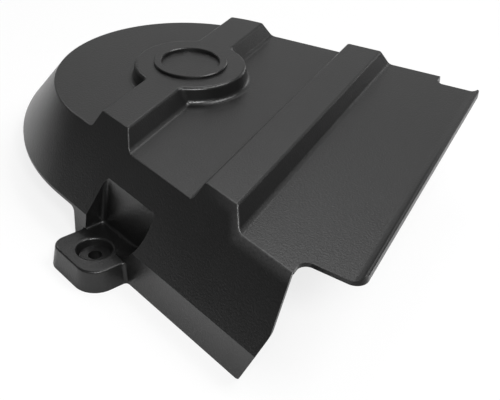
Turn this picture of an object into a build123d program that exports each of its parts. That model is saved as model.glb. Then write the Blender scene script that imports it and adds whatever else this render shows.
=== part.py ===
"""Pulley cover, moulded in one piece: a thin shell, open below and at its lip end."""

import os
from math import cos, radians, sin, tan

from build123d import *

os.makedirs("parts", exist_ok=True)

# The shell. The round end's axis is the middle, the plate's top is at height 0, the ribs run along Y.
wall = 2.2
end_radius = 75.4  # plate's edge round the axis; the straight edges are tangent to it
lean = 28.8  # walls and rib sides, from upright
flare_drop = 34.9  # down to the foot of the leaning wall
base_drop = 55.8  # down to the foot of the upright walls
front_turn = 23.4  # the front edge turns this far from square to the ribs
back_out = 2.7  # the back edge is this much further from the axis
swell_radius = 45.7  # the foot of the round end's front half is this much flatter than its top
swell_shift = 10.2
swell_turn = 47.8  # how much of the round end that is
swell_top = 4.3  # the swell has died out this far above the plate
rim_round = 0.9
skirt_rim = 1.6  # upright rim under the leaning wall, round the end
skirt_start = 25.7  # the upright walls start this far past the straight edges' tangent points
skirt_corner = 3.0

# The walls' ends, towards the lip
wall_end = 123.6
end_set_back = 1.9  # at the kink
end_kink_drop = 25.0
end_kink_round = 10.0
end_lean = 23.7
end_tip_round = 3.0

# Two ribs, and a boss as high as they are
rib_height = 9.1
rib_places = (-0.4, 77.0)
rib_foot = 30.8
rib_round = 2.0
rib_fillet = 3.0
boss_radius = 31.2
boss_lean = 8.0
ring_radius = 20.6
ring_width = 4.2
ring_height = 1.6
ring_bevel = 0.4
ring_draft = 8.0
well_depth = 0.5  # bare floor inside the ring, below the boss's top

# The plate's flange past the walls' ends, and its upturned lip
flange_front_reach = 29.2
flange_back_reach = 25.5
notch_front = 10.6  # the flange is this much narrower than the plate
notch_back = 9.7
flange_flare = 4.5  # and gets wider again towards the lip's front end
notch_round = 4.5
lip_corner = 6.0
lip_back_corner = 1.5
lip_width = 1.2  # of its flat top
lip_rise = 1.8
lip_slope = 40.0  # of its inner side
lip_cove_share = 3.2  # radius of the curve up from the plate, in rises
lip_round_share = 0.3

# Screw ear. It stands on the front wall, and a pocket above it is cut into the leaning wall.
ear_drop = 44.2  # plate's top to the ear's top
ear_left = 35.1
ear_right = 71.5
ear_reach = 20.3  # out from the upright wall
ear_left_corner = 7.5
ear_right_corner = 10.5
ear_draft = 8.6
ear_round = 1.2
ear_foot = 2.0  # curve from the ear's sides to the wall
pocket_depth = 11.2  # in from the upright wall
pocket_left = 36.2
pocket_lean = 9.3  # of its left wall
pocket_right = 82.3
pocket_sweep = 22.0  # from the pocket's floor up to its right wall
pocket_corner = 2.4
pocket_crease = 1.5
screw_along = 53.5
screw_reach = 5.5  # out from the upright wall
screw_radius = 3.5
seat_radius = 8.0
seat_depth = 4.0
seat_draft = 14.0
seat_round = 1.3
post_wall = 2.6
web_width = 1.8
web_lift = 2.0  # the webs end this far above the base

# Sizes that follow
margin = 0.01  # for picking edges by place
slope = tan(radians(lean))
skirt_distance = end_radius + flare_drop * slope
turn = radians(front_turn)
ear_front = skirt_distance + ear_reach
pocket_back = skirt_distance - pocket_depth
screw_out = skirt_distance + screw_reach
flange_back = end_radius + back_out - notch_back
flange_front_start = notch_front - (end_radius + wall_end * sin(turn)) / cos(turn)
flange_front_end = flange_front_start - flange_flare
lip_x_front = wall_end + flange_front_reach
lip_x_back = wall_end + flange_back_reach
reach = 2 * end_radius + lip_x_front  # longer than the part, for cuts right through it
front = Plane(origin=(0, 0, 0), x_dir=(cos(turn), -sin(turn), 0), z_dir=(0, 0, 1))
front_along = Axis(origin=(0, 0, 0), direction=front.x_dir)
front_out = Axis(origin=(0, 0, 0), direction=-front.y_dir)
ear_height = base_drop - ear_drop
ear_spread = ear_height * tan(radians(ear_draft))
ear_root = 0.9 * wall  # how deep the ear's block goes into the wall


def outline(distance, end, swell):
    """The plan at this distance from the axis: two arcs, and two straight edges out to x = end.

    Swell is 1 at the foot of the leaning wall, and 0 where both arcs are round the axis."""
    back = distance + back_out
    out = Vector(-sin(turn), -cos(turn))
    split_turn = turn + radians(swell_turn)
    split_out = Vector(-sin(split_turn), -cos(split_turn))
    radius = distance + swell * swell_radius
    start = out * distance + Vector(cos(turn), -sin(turn)) * swell * swell_shift
    split = start + (split_out - out) * radius
    back_radius = (back - split.Y) / (1 - split_out.Y)
    centre = split - split_out * back_radius
    middle_turn = turn + radians(swell_turn / 2)
    front_middle = start + (Vector(-sin(middle_turn), -cos(middle_turn)) - out) * radius
    side_turn = (split_turn + radians(180)) / 2
    back_middle = centre + Vector(-sin(side_turn), -cos(side_turn)) * back_radius
    corner = (end, start.Y - (end - start.X) * tan(turn))
    with BuildSketch() as plan:
        with BuildLine():
            ThreePointArc(start, front_middle, split)
            ThreePointArc(split, back_middle, (centre.X, back))
            Polyline((centre.X, back), (end, back), corner, start)
        make_face()
    return plan.sketch


def shell_form(inset, end):
    """The shell's outside, or its hollow when inset by the wall."""
    side_inset = inset / cos(radians(lean))
    foot = flare_drop + inset * tan(radians(lean / 2))
    top = rib_height - inset
    distance = skirt_distance - inset
    foot_plan = outline(distance, end, 1)
    top_swell = (swell_top - top) / (swell_top + flare_drop)
    top_plan = outline(distance - slope * (foot + top), end, top_swell)
    air_height = 2 * rib_height
    rib_low = rib_foot / 2 - side_inset + slope * inset
    rib_high = rib_low - slope * air_height
    with BuildPart() as form:
        with BuildSketch(Plane.XY.offset(-foot)):
            add(foot_plan)
        with BuildSketch(Plane.XY.offset(top)):
            add(top_plan)
        loft(ruled=True)
        extrude(foot_plan.moved(Location((0, 0, -foot))), amount=foot - base_drop)
        # the air over the plate and between the ribs
        with BuildSketch(Plane.XZ):
            with Locations((0, -inset)):
                Rectangle(2 * reach, air_height, align=(Align.CENTER, Align.MIN))
            with Locations(*[(x, -inset) for x in rib_places]):
                Polygon(
                    (-rib_low, 0), (rib_low, 0), (rib_high, air_height), (-rib_high, air_height),
                    align=None, mode=Mode.SUBTRACT,
                )
        extrude(amount=reach, both=True, mode=Mode.SUBTRACT)
        with BuildSketch(Plane.XY.offset(top)):
            Circle(boss_radius - inset)
        extrude(amount=-rib_height, taper=-boss_lean)
    return form.part


def pocket_block(outset):
    """The pocket in the leaning wall, or the block of its walls when outset by the wall."""
    back = front.from_local_coords(Vector(0, outset - pocket_back, 0))
    with BuildPart() as block:
        with BuildSketch(Plane(origin=back, x_dir=front.x_dir, z_dir=-front.y_dir)):
            left_top = pocket_left + ear_drop * tan(radians(pocket_lean))
            Polygon(
                (left_top, 0), (pocket_left, -ear_drop), (pocket_right, -ear_drop), (pocket_right, 0),
                align=None,
            )
            fillet(vertices().group_by(Axis.Y)[0].sort_by(Axis.X)[-1], pocket_sweep)
            if outset:
                offset(amount=outset, kind=Kind.INTERSECTION)
        extrude(amount=skirt_distance)
        back_edges = faces().sort_by(front_out)[0].edges()
        back_edges = back_edges.filter_by(lambda e: e.center().Z < -outset)
        fillet(back_edges.sort_by(front_along)[0], pocket_corner + outset)
        floor_edge = edges().group_by(Axis.Z)[0].sort_by(front_along)[0]
        fillet(floor_edge, pocket_crease + outset)
    return block.part


def ear_block(inset, back):
    """The screw ear's outside, with curved feet at the wall, or its hollow when inset by the wall."""
    top_inset = inset + inset * tan(radians(ear_draft))
    with BuildPart() as ear:
        for height, edge_inset in ((0, inset - ear_spread), (ear_height - inset, top_inset)):
            left = ear_left + edge_inset
            width = ear_right - ear_left - 2 * edge_inset
            with BuildSketch(front.offset(height - base_drop)):
                with Locations((left, -back)):
                    Rectangle(width, ear_front - edge_inset - back, align=(Align.MIN, Align.MAX))
                ends = vertices().group_by(Axis.Y)[0].sort_by(Axis.X)
                fillet(ends[0], ear_left_corner - edge_inset)
                ends = vertices().group_by(Axis.Y)[0].sort_by(Axis.X)
                fillet(ends[-1], ear_right_corner - edge_inset)
                if inset == 0:
                    with Locations((left - 2 * ear_foot, -back)):
                        Rectangle(width + 4 * ear_foot, skirt_distance - back, align=(Align.MIN, Align.MAX))
                    fillet(vertices().group_by(Axis.Y)[-2].sort_by(Axis.X)[1:3], ear_foot)
        loft(ruled=True)
        if inset == 0:
            top = faces().sort_by(Axis.Z)[-1].edges()
            free_from = -skirt_distance - margin
            fillet(top.filter_by(lambda e: front.to_local_coords(e.center()).Y < free_from), ear_round)
    return ear.part


outside = shell_form(0, wall_end + reach)
inside = shell_form(wall, wall_end + reach)
pocket_walls = pocket_block(wall)
pocket = pocket_block(0)
ear_outside = ear_block(0, skirt_distance - ear_root)
ear_inside = ear_block(wall, skirt_distance)

with BuildPart() as hollow:
    add(inside)
    add(pocket_walls, mode=Mode.SUBTRACT)

# the space under the round end, which has no upright wall
skirt_foot = -flare_drop - skirt_rim
split = skirt_start * tan(turn / 2)
with BuildPart() as under:
    with BuildSketch(Plane.XY.offset(skirt_foot)):
        Polygon(
            (skirt_start, reach), (skirt_start, -split),
            (skirt_start - reach * sin(turn), -split - reach * cos(turn)),
            (-2 * reach, -reach), (-2 * reach, reach), align=None,
        )
    extrude(amount=-base_drop)
    fillet(edges().group_by(Axis.Z)[-1].sort_by_distance((0, 0, skirt_foot))[:2], skirt_corner)

# side view of all that is kept of the walls, with their ends towards the lip
kink_x = wall_end - end_set_back
tip_x = kink_x - (base_drop - end_kink_drop) * tan(radians(end_lean))
with BuildPart() as side_view:
    with BuildSketch(Plane.XZ):
        with BuildLine():
            Polyline(
                (-reach, rib_height), (wall_end, rib_height), (wall_end, 0), (kink_x, -end_kink_drop),
                (tip_x, -base_drop), (-reach, -base_drop), close=True,
            )
        make_face()
        kink = vertices().filter_by_position(Axis.Y, -end_kink_drop - margin, -end_kink_drop + margin)
        fillet(kink, end_kink_round)
        fillet(vertices().group_by(Axis.Y)[0].sort_by(Axis.X)[-1], end_tip_round)
    extrude(amount=reach, both=True)

# the flange from above, with the plate's last part before it, and the band of it that is the lip
flange_start = wall_end - 2 * notch_round
with BuildSketch() as flange:
    add(outline(end_radius - 2 * rim_round, wall_end, 0))
    Polygon(
        (flange_start, flange_back), (lip_x_back, flange_back), (lip_x_front, flange_front_end),
        (wall_end, flange_front_start), (flange_start, flange_front_start), align=None,
    )
    at_walls = vertices().filter_by_position(Axis.X, wall_end - margin, wall_end + margin)
    fillet(
        at_walls.filter_by_position(Axis.Y, flange_front_start - margin, flange_back + margin), notch_round
    )
    ends = vertices().filter_by_position(Axis.X, lip_x_back - margin, lip_x_front + margin)
    fillet(ends.sort_by(Axis.Y)[0], lip_corner)
    ends = vertices().filter_by_position(Axis.X, lip_x_back - margin, lip_x_front + margin)
    fillet(ends.sort_by(Axis.Y)[-1], lip_back_corner)
    with Locations((flange_start, 0)):
        Rectangle(reach, 2 * reach, align=(Align.MIN, Align.CENTER), mode=Mode.INTERSECT)
lip_cove = lip_cove_share * lip_rise
lip_round = lip_round_share * lip_rise
lip_run = Vector(lip_x_back - lip_x_front, flange_back - flange_front_end, 0)
lip_section = Plane(
    origin=(lip_x_front, flange_front_end, 0), x_dir=lip_run.cross(Vector(0, 0, -1)), z_dir=lip_run
)
with BuildPart() as lip:
    with BuildSketch(lip_section):
        with BuildLine():
            slope_foot = lip_width + lip_rise / tan(radians(lip_slope))
            foot_end = slope_foot + lip_cove
            Polyline(
                (0, -wall / 2), (0, lip_rise), (lip_width, lip_rise), (slope_foot, 0), (foot_end, 0),
                (foot_end, -wall / 2), close=True,
            )
        make_face()
        fillet(vertices().group_by(Axis.Y)[-1], lip_round)
        slope_corner = vertices().filter_by(lambda v: abs(v.Y) < margin and abs(v.X - slope_foot) < margin)
        fillet(slope_corner, lip_cove)
    extrude(amount=lip_run.length)
    extrude(flange.sketch, amount=lip_rise, both=True, mode=Mode.INTERSECT)

# the ring on the boss
ring_inside = ring_radius - ring_width
with BuildPart() as ring:
    with BuildSketch(Plane(origin=(0, 0, rib_height), x_dir=(1, 0, 0), z_dir=(0, -1, 0))):
        Polygon(
            (ring_inside - (well_depth + ring_height) * tan(radians(ring_draft)), -well_depth),
            (ring_inside, ring_height), (ring_radius, ring_height), (ring_radius, -well_depth), align=None,
        )
        chamfer(vertices().group_by(Axis.Y)[-1], ring_bevel)
    revolve(axis=Axis.Z)

# the screw's seat and hole, with the seat's rounded rim
seat_top = front.from_local_coords(Vector(screw_along, -screw_out, -ear_drop))
seat_rim = seat_radius + seat_depth * tan(radians(seat_draft))
with BuildPart() as seat:
    with BuildSketch(Plane(origin=seat_top, x_dir=(1, 0, 0), z_dir=(0, -1, 0))):
        Polygon(
            (0, seat_round), (seat_rim + 2 * seat_round, seat_round), (seat_rim + 2 * seat_round, 0),
            (seat_rim, 0), (seat_radius, -seat_depth), (screw_radius, -seat_depth),
            (screw_radius, -2 * ear_height), (0, -2 * ear_height), align=None,
        )
        rim = vertices().filter_by(lambda v: abs(v.X - seat_rim) < margin and abs(v.Y) < margin)
        fillet(rim, seat_round)
    revolve(axis=Axis(seat_top, (0, 0, 1)))

# webs from the screw's post to the ear's walls
with BuildPart() as webs:
    with BuildSketch(front.offset(web_lift - base_drop)):
        with Locations((screw_along, -screw_out)):
            Rectangle(reach, web_width)
            Rectangle(web_width, reach)
    extrude(amount=ear_height - wall / 2 - web_lift)
    add(ear_outside, mode=Mode.INTERSECT)


def rim_edges():
    """The edges between the leaning walls and what is above them."""
    walls = faces().filter_by(
        lambda f: abs(f.bounding_box().min.Z + flare_drop) < margin
        and f.center().X < wall_end + reach - margin
    )
    return walls.edges().filter_by(lambda e: e.center().Z > -wall / 2)


with BuildPart() as moulding:
    # the outside: first the feet of the ribs and boss, then their tops, then the rim all round
    add(outside)
    fillet(edges().filter_by(lambda e: e.center().Z > -wall / 2 and e.is_interior), rib_fillet)
    rims = rim_edges()
    tops = faces().filter_by(Axis.Z).group_by(Axis.Z)[-1].edges()
    fillet(tops.filter_by(lambda e: not any(e.is_same(rim) for rim in rims)), rib_round)
    fillet(rim_edges(), rim_round)
    add(side_view.part, mode=Mode.INTERSECT)
    # the inside, and the pocket with the ear below it
    add(under.part, mode=Mode.SUBTRACT)
    add(hollow.part, mode=Mode.SUBTRACT)
    add(pocket, mode=Mode.SUBTRACT)
    add(ear_outside)
    add(ear_inside, mode=Mode.SUBTRACT)
    # the flange and its lip
    extrude(flange.sketch, amount=-wall)
    add(lip.part)
    # the ring on the boss, round its bare floor
    with BuildSketch(Plane.XY.offset(rib_height)):
        Circle(ring_radius - ring_width / 2)
    extrude(amount=-well_depth, mode=Mode.SUBTRACT)
    add(ring.part)
    # the screw's post, its webs and its seat
    with BuildSketch(front.offset(-base_drop)):
        with Locations((screw_along, -screw_out)):
            Circle(seat_radius + post_wall)
    extrude(amount=ear_height - wall / 2)
    add(webs.part)
    add(seat.part, mode=Mode.SUBTRACT)

# stood on its base, with the middle of its box over the frame's origin
box = moulding.part.bounding_box()
with BuildPart() as cover:
    with Locations((-box.center().X, -box.center().Y, -box.min.Z)):
        add(moulding.part)
screw = seat_top - Vector(box.center().X, box.center().Y, box.min.Z)
print(f"box {box.size}, screw hole at {screw}, valid {cover.part.is_valid}")
cover.part.label = "cover"
export_step(cover.part, "parts/cover.step")
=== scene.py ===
from math import cos, pi, radians, sin

import bpy
from mathutils import Matrix, Vector

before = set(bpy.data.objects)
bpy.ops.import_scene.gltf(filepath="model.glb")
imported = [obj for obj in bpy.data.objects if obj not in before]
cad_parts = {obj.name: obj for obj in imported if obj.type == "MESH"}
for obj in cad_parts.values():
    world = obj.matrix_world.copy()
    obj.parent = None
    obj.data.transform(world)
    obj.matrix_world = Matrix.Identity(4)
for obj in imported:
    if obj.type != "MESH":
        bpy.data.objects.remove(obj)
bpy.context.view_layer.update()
scene = bpy.context.scene

# The cover
# One injection moulding of black polypropylene, with its ribs, boss, lip and screw ear all in one
# wall about 2 mm thick. Its shape is the frame's own, so only the plastic is made here.


def linear(code):
    """The linear colour of an sRGB hex value."""
    channels = [int(code[place:place + 2], 16) / 255 for place in (0, 2, 4)]
    return (*[c / 12.92 if c <= 0.04045 else ((c + 0.055) / 1.055) ** 2.4 for c in channels], 1)


def add_node(tree, kind, settings, inputs):
    """Adds a node with its settings. An input is given a value, or another node's output."""
    made = tree.nodes.new(kind)
    for name, value in settings.items():
        setattr(made, name, value)
    for name, value in inputs.items():
        if isinstance(value, bpy.types.NodeSocket):
            tree.links.new(value, made.inputs[name])
        else:
            made.inputs[name].default_value = value
    return made


def new_tree(owner):
    """An empty node tree for a material or a world."""
    owner.use_nodes = True
    owner.node_tree.nodes.clear()
    return owner.node_tree


# Black polypropylene, moulded in a spark-eroded tool. The eye sees a satin black with a soft sheen,
# fine even grain, and cloudy patches where the sheen is a little duller. The front wall has a paler
# band painted along its upper edge, from the second rib's near end to the wall's end: a painted
# highlight in place of the light that a broader rounding of that edge would catch, speckled with the grain.
moulded_black = "131313"
polypropylene_ior = 1.49
satin = 0.32  # roughness
satin_change = 0.05  # between the dullest and the brightest patches
patch_mm = 35
patch_detail = 3
patch_range = (0.3, 0.7)  # of the noise, from the brightest to the dullest
grain_mm = 1.0  # the real grain is about 0.1 mm, too fine to show, so it is drawn coarser
grain_depth_mm = 0.12
grain_detail = 2

polypropylene = bpy.data.materials.new("black_polypropylene_moulded_satin_grain")
tree = new_tree(polypropylene)
place = add_node(tree, "ShaderNodeTexCoord", {}, {})
on_object = place.outputs["Object"]
grain = add_node(
    tree, "ShaderNodeTexNoise", {},
    {"Vector": on_object, "Scale": 1000 / grain_mm, "Detail": grain_detail},
)
bump = add_node(
    tree, "ShaderNodeBump", {},
    {"Height": grain.outputs["Fac"], "Distance": grain_depth_mm / 1000, "Strength": 1},
)
patches = add_node(
    tree, "ShaderNodeTexNoise", {},
    {"Vector": on_object, "Scale": 1000 / patch_mm, "Detail": patch_detail},
)
sheen = add_node(
    tree, "ShaderNodeMapRange", {},
    {
        "Value": patches.outputs["Fac"], "From Min": patch_range[0], "From Max": patch_range[1],
        "To Min": satin - satin_change / 2, "To Max": satin + satin_change / 2,
    },
)

# The painted highlight band follows the front wall's upper edge, over the second rib: a paler colour
# in place of the light that a broader rounding of that edge would catch. Its place comes from the
# wall's plane, the plate's top and the rib's sides, in metres.
painted_highlight_grey = "3A3A3A"
painted_highlight_width = 0.007
painted_highlight_from = (-0.005, 0.03)  # past the rib's left side, it grows from nothing to full
painted_highlight_skin = (-0.0012, -0.0006)  # it is on the outer skin only, and gone this far inside it
painted_highlight_speckle = (-0.1, 0.75)  # of the grain's noise, so that the band is speckled with it
wall_lean = radians(28.8)
wall_turn = radians(23.4)
round_middle = Vector((-0.021578, 0.028280, 0.0558))  # the round end's axis, at the plate's top
wall_place = 0.0754  # from there to the wall's upper edge
rib_left = 0.0616  # from there to the second rib's sides, at the plate's top
rib_right = 0.0924
rib_height = 0.0091


def far_along(direction, start):
    """How far a point of the cover is past a place in one direction, in metres."""
    along = add_node(
        tree, "ShaderNodeVectorMath", {"operation": "DOT_PRODUCT"}, {0: on_object, 1: direction}
    )
    return add_node(
        tree, "ShaderNodeMath", {"operation": "SUBTRACT"},
        {0: along.outputs["Value"], 1: start + round_middle.dot(direction)},
    ).outputs[0]


leaning = cos(wall_lean)
upright = sin(wall_lean)
wall_face = Vector((-sin(wall_turn) * leaning, -cos(wall_turn) * leaning, upright))
out_of_wall = far_along(wall_face, wall_place * leaning)
below_plate = far_along(Vector((0, 0, -1 / leaning)), 0)
below_rib_top = far_along(Vector((0, 0, -1 / leaning)), -rib_height / leaning)
left_of_rib_side = far_along(Vector((-leaning, 0, -upright)), -rib_right * leaning)
right_of_rib_side = far_along(Vector((leaning, 0, -upright)), rib_left * leaning)
below_corner = add_node(
    tree, "ShaderNodeMath", {"operation": "MAXIMUM"}, {0: left_of_rib_side, 1: below_plate}
)
below_edge = add_node(
    tree, "ShaderNodeMath", {"operation": "MINIMUM"}, {0: below_rib_top, 1: below_corner.outputs[0]}
)
# The mask of the painted highlight, where a broader rounding of the edge would catch the light.
painted_highlight_mask = 1
for value, bounds in (
    (below_edge.outputs[0], (painted_highlight_width, 0)),
    (right_of_rib_side, painted_highlight_from),
    (out_of_wall, painted_highlight_skin),
    (grain.outputs["Fac"], painted_highlight_speckle),
):
    fade = add_node(
        tree, "ShaderNodeMapRange", {"interpolation_type": "SMOOTHSTEP"},
        {"Value": value, "From Min": bounds[0], "From Max": bounds[1]},
    )
    painted_highlight_mask = add_node(
        tree, "ShaderNodeMath", {"operation": "MULTIPLY"}, {0: painted_highlight_mask, 1: fade.outputs["Result"]}
    ).outputs[0]
# The painted highlight: inside the mask the base colour turns from black to a paler grey.
painted_highlight_colour = add_node(
    tree, "ShaderNodeMix", {"data_type": "RGBA"},
    {"Factor": painted_highlight_mask, "A": linear(moulded_black), "B": linear(painted_highlight_grey)},
)
shader = add_node(
    tree, "ShaderNodeBsdfPrincipled", {},
    {
        "Base Color": painted_highlight_colour.outputs["Result"], "Roughness": sheen.outputs["Result"],
        "IOR": polypropylene_ior, "Normal": bump.outputs["Normal"],
    },
)
add_node(tree, "ShaderNodeOutputMaterial", {}, {"Surface": shader.outputs["BSDF"]})

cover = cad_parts["cover"]
cover.data.materials.clear()
cover.data.materials.append(polypropylene)

# The studio floor
# A round sheet of matte white card that the cover stands on, on a darker table that the plastic's
# sheen sees beyond it. The camera sees white on every side, with the cover's soft shadow. Glossy rays
# keep the card and the table as they are, so that the sheen stays dim.
card_white = "E8E8E8"
floor_size = 6.0
card_middle = (-0.2, 0.1, 0)  # left of the cover and behind it
card_edge = (0.33, 0.50)  # the white gives way to the table this far from there
table_share = 0.2  # how bright the table is beside the card
card_glow = 0.8  # share of plain white in what the camera sees of it, on the card
plain_from = 1.2  # the camera sees all white from here on

card = bpy.data.materials.new("white_card_matte")
tree = new_tree(card)
rays = add_node(tree, "ShaderNodeLightPath", {}, {})
place = add_node(tree, "ShaderNodeTexCoord", {}, {})
seen = add_node(
    tree, "ShaderNodeMath", {"operation": "MAXIMUM"},
    {0: rays.outputs["Is Camera Ray"], 1: rays.outputs["Is Transmission Ray"]},
)
distance = add_node(
    tree, "ShaderNodeVectorMath", {"operation": "DISTANCE"}, {0: place.outputs["Object"], 1: card_middle}
)
white_share = add_node(
    tree, "ShaderNodeMapRange", {"interpolation_type": "SMOOTHSTEP"},
    {
        "Value": distance.outputs["Value"], "From Min": card_edge[0], "From Max": card_edge[1],
        "To Min": 1, "To Max": table_share,
    },
)
seen_share = add_node(
    tree, "ShaderNodeMath", {"operation": "MAXIMUM"},
    {0: seen.outputs[0], 1: white_share.outputs["Result"]},
)
paper = add_node(tree, "ShaderNodeBsdfDiffuse", {}, {"Color": linear(card_white)})
table = add_node(tree, "ShaderNodeBsdfDiffuse", {}, {"Color": (0, 0, 0, 1)})
laid = add_node(
    tree, "ShaderNodeMixShader", {},
    {0: seen_share.outputs[0], 1: table.outputs["BSDF"], 2: paper.outputs["BSDF"]},
)
glow = add_node(tree, "ShaderNodeEmission", {}, {"Color": (1, 1, 1, 1), "Strength": 1})
white_glow = add_node(
    tree, "ShaderNodeMapRange", {},
    {
        "Value": distance.outputs["Value"], "From Min": card_edge[1], "From Max": plain_from,
        "To Min": card_glow, "To Max": 1,
    },
)
glow_share = add_node(
    tree, "ShaderNodeMath", {"operation": "MULTIPLY"},
    {0: seen.outputs[0], 1: white_glow.outputs["Result"]},
)
mixed = add_node(
    tree, "ShaderNodeMixShader", {},
    {0: glow_share.outputs[0], 1: laid.outputs["Shader"], 2: glow.outputs["Emission"]},
)
add_node(tree, "ShaderNodeOutputMaterial", {}, {"Surface": mixed.outputs["Shader"]})

bpy.ops.mesh.primitive_plane_add(size=floor_size, location=(0, 0, 0))
floor = bpy.context.object
floor.name = "studio_floor"
floor.data.materials.append(card)

# The studio room
# A dim room round the table, with a wide pale backdrop behind the cover that shows in the plastic's
# sheen. It ends on the right and fades out above. The camera sees plain white on every side.
room_share = 0.145  # how bright the room is beside plain white
backdrop_share = 0.35
backdrop_turn = radians(95)  # the backdrop's middle, from +X
backdrop_height = radians(8)
backdrop_reach = (0.2, 0.95)  # where it starts and is full, as the cosine of the angle from there
backdrop_edge = radians(72)  # its right edge, from +X
edge_blur = 0.12  # as the sine of the angle from there

studio = bpy.data.worlds.new("studio_room")
scene.world = studio
tree = new_tree(studio)
rays = add_node(tree, "ShaderNodeLightPath", {}, {})
place = add_node(tree, "ShaderNodeTexCoord", {}, {})
middle = Vector((cos(backdrop_turn), sin(backdrop_turn), 0)) * cos(backdrop_height)
middle.z = sin(backdrop_height)
from_middle = add_node(
    tree, "ShaderNodeVectorMath", {"operation": "DOT_PRODUCT"}, {0: place.outputs["Generated"], 1: middle}
)
backdrop = add_node(
    tree, "ShaderNodeMapRange", {"interpolation_type": "SMOOTHSTEP"},
    {
        "Value": from_middle.outputs["Value"], "From Min": backdrop_reach[0], "From Max": backdrop_reach[1],
        "To Min": 0, "To Max": backdrop_share,
    },
)
past_edge = add_node(
    tree, "ShaderNodeVectorMath", {"operation": "DOT_PRODUCT"},
    {0: place.outputs["Generated"], 1: (-sin(backdrop_edge), cos(backdrop_edge), 0)},
)
left_of_edge = add_node(
    tree, "ShaderNodeMapRange", {"interpolation_type": "SMOOTHSTEP"},
    {"Value": past_edge.outputs["Value"], "From Min": -edge_blur, "From Max": edge_blur},
)
lit = add_node(
    tree, "ShaderNodeMath", {"operation": "MULTIPLY_ADD"},
    {0: backdrop.outputs["Result"], 1: left_of_edge.outputs["Result"], 2: room_share},
)
seen = add_node(
    tree, "ShaderNodeMath", {"operation": "MAXIMUM"},
    {0: rays.outputs["Is Camera Ray"], 1: rays.outputs["Is Transmission Ray"]},
)
strength = add_node(
    tree, "ShaderNodeMix", {"data_type": "FLOAT"},
    {"Factor": seen.outputs[0], "A": lit.outputs[0], "B": 1},
)
room = add_node(
    tree, "ShaderNodeBackground", {}, {"Color": (1, 1, 1, 1), "Strength": strength.outputs["Result"]}
)
add_node(tree, "ShaderNodeOutputWorld", {}, {"Surface": room.outputs["Background"]})

# The soft boxes
# Six square lamps behind white cloth. Small ones at the front, above the camera and at the left make
# the crisp highlights on the rounded edges, and a low one behind lights the far ends of the ribs'
# right sides. Two large ones, at the right and behind, give the flat tops their sheen.


def soft_box(name, side, height, distance, size, brightness):
    """A square lamp that looks at the cover from this side and height, in degrees from +X and the floor.

    Its brightness is given beside plain white.
    """
    data = bpy.data.lights.new(name, "AREA")
    data.shape = "SQUARE"
    data.size = size
    data.energy = brightness * pi * size * size
    lamp = bpy.data.objects.new(name, data)
    scene.collection.objects.link(lamp)
    away = Vector((cos(radians(side)), sin(radians(side)), 0)) * cos(radians(height))
    away.z = sin(radians(height))
    lamp.location = away * distance
    lamp.rotation_euler = away.to_track_quat("Z", "Y").to_euler()


soft_box("soft_box_front", side=-45, height=42, distance=1.5, size=0.3, brightness=44)
soft_box("soft_box_camera", side=-66, height=40, distance=1.5, size=0.4, brightness=10)
soft_box("soft_box_left", side=159, height=40, distance=1.5, size=0.4, brightness=3)
soft_box("soft_box_low", side=76, height=5, distance=1.5, size=0.6, brightness=1.8)
soft_box("soft_box_right", side=24, height=57, distance=1.6, size=0.8, brightness=7)
soft_box("soft_box_behind", side=114, height=57, distance=1.6, size=0.7, brightness=3.1)

# The camera
# A long lens that looks down on the cover from the front right. Its place, its angles and its lens
# were fitted to the cover's edges in the photograph.
camera_place = Vector((0.21017, -0.39180, 0.29179))
camera_azimuth = radians(24.385)
camera_elevation = radians(33.528)
camera_roll = radians(3.204)
camera_lens = 67.19  # mm
camera_sensor = 36  # mm wide

camera_data = bpy.data.cameras.new("camera")
camera_data.sensor_width = camera_sensor
camera_data.lens = camera_lens
camera = bpy.data.objects.new("camera", camera_data)
scene.collection.objects.link(camera)
scene.camera = camera
right = Vector((cos(camera_azimuth), sin(camera_azimuth), 0))
ahead = Vector((-sin(camera_azimuth), cos(camera_azimuth), 0)) * cos(camera_elevation)
ahead.z = -sin(camera_elevation)
up = right.cross(ahead)
rolled_right = right * cos(camera_roll) + up * sin(camera_roll)
rolled_up = up * cos(camera_roll) - right * sin(camera_roll)
turned = Matrix((rolled_right, rolled_up, -ahead)).transposed().to_4x4()
camera.matrix_world = Matrix.Translation(camera_place) @ turned
scene.view_settings.view_transform = "Standard"
